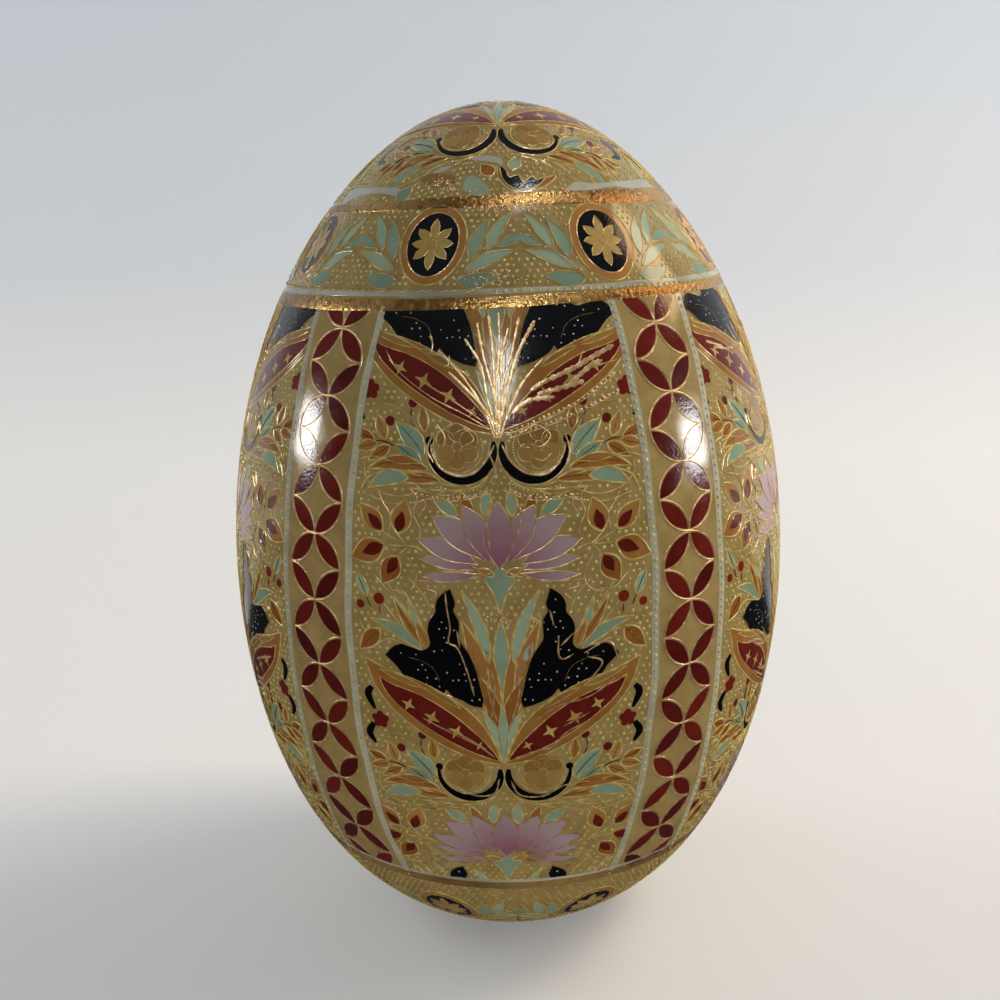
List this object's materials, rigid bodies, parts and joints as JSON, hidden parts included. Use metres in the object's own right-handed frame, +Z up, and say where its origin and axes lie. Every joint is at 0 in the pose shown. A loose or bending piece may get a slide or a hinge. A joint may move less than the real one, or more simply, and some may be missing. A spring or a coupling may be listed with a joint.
{
  "type": "hand-painted porcelain egg",
  "caption": "Glazed porcelain egg standing upright on a small flat base, painted all over in enamels and raised gold, for display on a shelf or table.",
  "frame": {"origin": "middle of the flat base on the underside", "axes": "+Z up along the egg's long axis to its tip; -Y is the side that faces the viewer"},
  "size_m": [0.1, 0.1, 0.149],
  "materials": {
    "painted_porcelain": "glossy glaze over a tan ground, with enamel flowers and raised gold lines, dots and bands"
  },
  "bodies": {
    "root": {"porcelain_egg": "painted_porcelain"}
  },
  "joints": []
}
